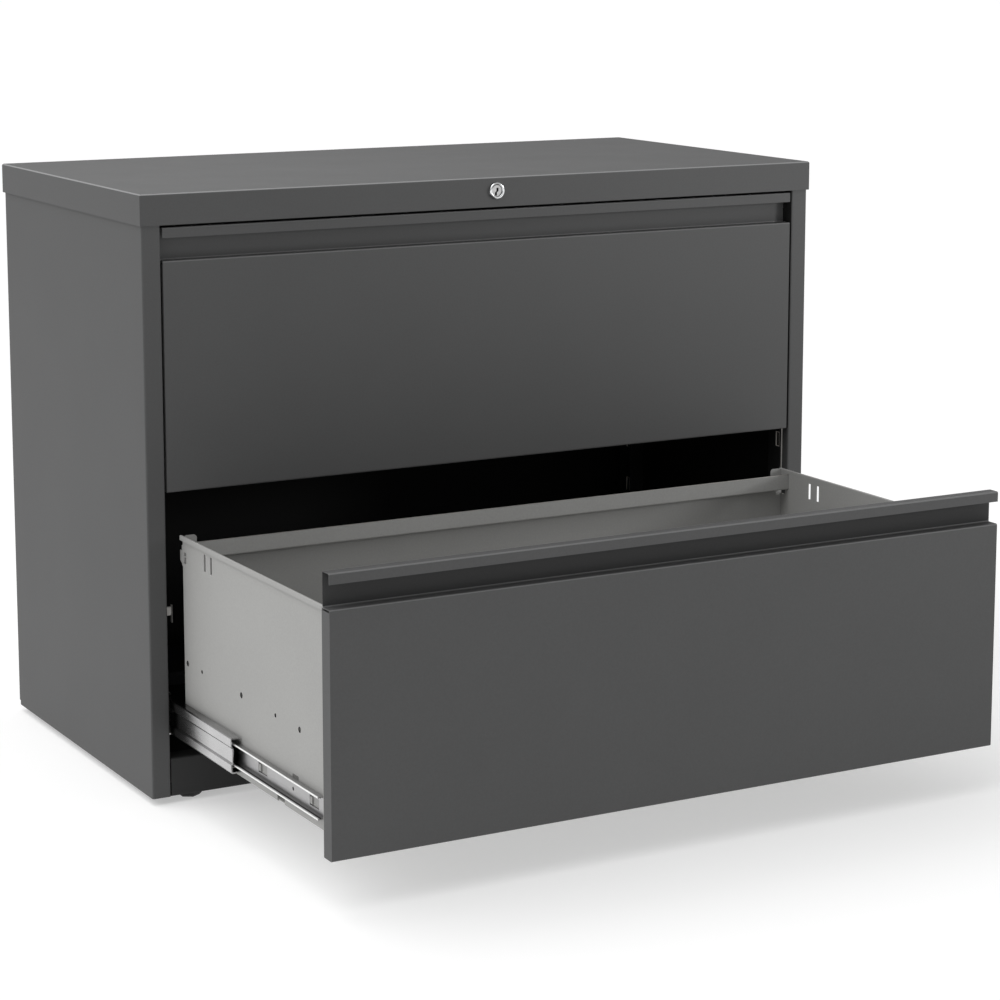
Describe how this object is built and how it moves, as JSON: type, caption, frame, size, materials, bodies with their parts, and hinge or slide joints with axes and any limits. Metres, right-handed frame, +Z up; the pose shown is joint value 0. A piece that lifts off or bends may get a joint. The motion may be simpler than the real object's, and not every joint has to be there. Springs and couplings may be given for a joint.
{
  "type": "lateral filing cabinet",
  "caption": "Low wide sheet-steel filing cabinet with full-width pull drawers on telescoping ball slides, a gang lock and levelling glides.",
  "frame": {"origin": "on the floor, under the middle of the overall box with the lower drawer out", "axes": "+X to the right as seen from the front, +Y from front to back, +Z up"},
  "size_m": [0.9144, 0.8952, 0.7144],
  "materials": {
    "case_paint": "charcoal baked enamel, fine orange peel, satin",
    "front_paint": "charcoal baked enamel, fine orange peel, satin",
    "drawer_paint": "light grey baked enamel, satin",
    "slide_zinc": "bright zinc plate, cold rolled",
    "cage_steel": "thin oiled strip with hardened balls",
    "lock_steel": "zinc plate",
    "lock_chrome": "polished chrome",
    "glide_nylon": "black nylon",
    "ballast_iron": "mill scale, dull"
  },
  "bodies": {
    "case": {"top_cap": "case_paint", "back_panel": "case_paint", "kick_rail": "case_paint", "base_pan": "case_paint", "left_side_panel": "case_paint", "right_side_panel": "case_paint", "left_front_upright": "case_paint", "left_rear_upright": "case_paint", "right_front_upright": "case_paint", "right_rear_upright": "case_paint", "counterweight": "ballast_iron", "lock_housing": "lock_chrome", "lock_guide": "lock_steel", "lower_left_slide_cabinet_member": "slide_zinc", "lower_right_slide_cabinet_member": "slide_zinc", "upper_left_slide_cabinet_member": "slide_zinc", "upper_right_slide_cabinet_member": "slide_zinc"},
    "lower_drawer": {"lower_drawer_front": "front_paint", "lower_drawer_liner": "drawer_paint", "lower_drawer_bottom": "drawer_paint", "lower_drawer_back": "drawer_paint", "lower_front_hang_rail": "drawer_paint", "lower_rear_hang_rail": "drawer_paint", "lower_left_drawer_side": "drawer_paint", "lower_right_drawer_side": "drawer_paint", "lower_left_slide_drawer_member": "slide_zinc", "lower_right_slide_drawer_member": "slide_zinc"},
    "lower_slide_middles": {"lower_left_slide_middle_member": "slide_zinc", "lower_right_slide_middle_member": "slide_zinc"},
    "lower_outer_cages": {"lower_left_slide_outer_cage": "cage_steel", "lower_right_slide_outer_cage": "cage_steel"},
    "lower_inner_cages": {"lower_left_slide_inner_cage": "cage_steel", "lower_right_slide_inner_cage": "cage_steel"},
    "upper_drawer": {"upper_drawer_front": "front_paint", "upper_drawer_liner": "drawer_paint", "upper_drawer_bottom": "drawer_paint", "upper_drawer_back": "drawer_paint", "upper_front_hang_rail": "drawer_paint", "upper_rear_hang_rail": "drawer_paint", "upper_left_drawer_side": "drawer_paint", "upper_right_drawer_side": "drawer_paint", "upper_left_slide_drawer_member": "slide_zinc", "upper_right_slide_drawer_member": "slide_zinc"},
    "upper_slide_middles": {"upper_left_slide_middle_member": "slide_zinc", "upper_right_slide_middle_member": "slide_zinc"},
    "upper_outer_cages": {"upper_left_slide_outer_cage": "cage_steel", "upper_right_slide_outer_cage": "cage_steel"},
    "upper_inner_cages": {"upper_left_slide_inner_cage": "cage_steel", "upper_right_slide_inner_cage": "cage_steel"},
    "lock_plug": {"lock_plug": "lock_chrome", "lock_cam": "lock_steel"},
    "lock_link": {"lock_link": "lock_steel"},
    "lock_rods": {"left_lock_rod": "lock_steel", "right_lock_rod": "lock_steel"},
    "left_front_glide": {"left_front_glide": "glide_nylon"},
    "left_rear_glide": {"left_rear_glide": "glide_nylon"},
    "right_front_glide": {"right_front_glide": "glide_nylon"},
    "right_rear_glide": {"right_rear_glide": "glide_nylon"}
  },
  "joints": [
    {"name": "lower_drawer_slide", "type": "slide", "parent": "case", "child": "lower_drawer", "axis": [0, -1, 0], "range_m": [-0.43, 0]},
    {"name": "lower_slide_middles_travel", "type": "slide", "parent": "case", "child": "lower_slide_middles", "axis": [0, -1, 0], "range_m": [-0.215, 0]},
    {"name": "lower_outer_cages_travel", "type": "slide", "parent": "case", "child": "lower_outer_cages", "axis": [0, -1, 0], "range_m": [-0.1075, 0]},
    {"name": "lower_inner_cages_travel", "type": "slide", "parent": "case", "child": "lower_inner_cages", "axis": [0, -1, 0], "range_m": [-0.3225, 0]},
    {"name": "upper_drawer_slide", "type": "slide", "parent": "case", "child": "upper_drawer", "axis": [0, -1, 0], "range_m": [0, 0.43]},
    {"name": "upper_slide_middles_travel", "type": "slide", "parent": "case", "child": "upper_slide_middles", "axis": [0, -1, 0], "range_m": [0, 0.215]},
    {"name": "upper_outer_cages_travel", "type": "slide", "parent": "case", "child": "upper_outer_cages", "axis": [0, -1, 0], "range_m": [0, 0.1075]},
    {"name": "upper_inner_cages_travel", "type": "slide", "parent": "case", "child": "upper_inner_cages", "axis": [0, -1, 0], "range_m": [0, 0.3225]},
    {"name": "lock_rods_travel", "type": "slide", "parent": "case", "child": "lock_rods", "axis": [0, 0, -1], "range_m": [0, 0.0099]},
    {"name": "lock_link_travel", "type": "slide", "parent": "case", "child": "lock_link", "axis": [1, 0, 0], "range_m": [0, 0.0099]},
    {"name": "lock_turn", "type": "hinge", "parent": "case", "child": "lock_plug", "pos_m": [0, -0.0197, 0.6978], "axis": [0, 1, 0], "range_deg": [0, 90]},
    {"name": "left_front_glide_screw", "type": "slide", "parent": "case", "child": "left_front_glide", "axis": [0, 0, -1], "range_m": [0, 0.016]},
    {"name": "left_rear_glide_screw", "type": "slide", "parent": "case", "child": "left_rear_glide", "axis": [0, 0, -1], "range_m": [0, 0.016]},
    {"name": "right_front_glide_screw", "type": "slide", "parent": "case", "child": "right_front_glide", "axis": [0, 0, -1], "range_m": [0, 0.016]},
    {"name": "right_rear_glide_screw", "type": "slide", "parent": "case", "child": "right_rear_glide", "axis": [0, 0, -1], "range_m": [0, 0.016]}
  ],
  "couplings": [
    {"joint": "lower_slide_middles_travel", "follows": "lower_drawer_slide", "ratio": 0.5},
    {"joint": "lower_outer_cages_travel", "follows": "lower_drawer_slide", "ratio": 0.25},
    {"joint": "lower_inner_cages_travel", "follows": "lower_drawer_slide", "ratio": 0.75},
    {"joint": "upper_slide_middles_travel", "follows": "upper_drawer_slide", "ratio": 0.5},
    {"joint": "upper_outer_cages_travel", "follows": "upper_drawer_slide", "ratio": 0.25},
    {"joint": "upper_inner_cages_travel", "follows": "upper_drawer_slide", "ratio": 0.75},
    {"joint": "lock_link_travel", "follows": "lock_rods_travel", "ratio": 1},
    {"joint": "lock_turn", "follows": "lock_rods_travel", "rad_per_m": 158.67}
  ]
}
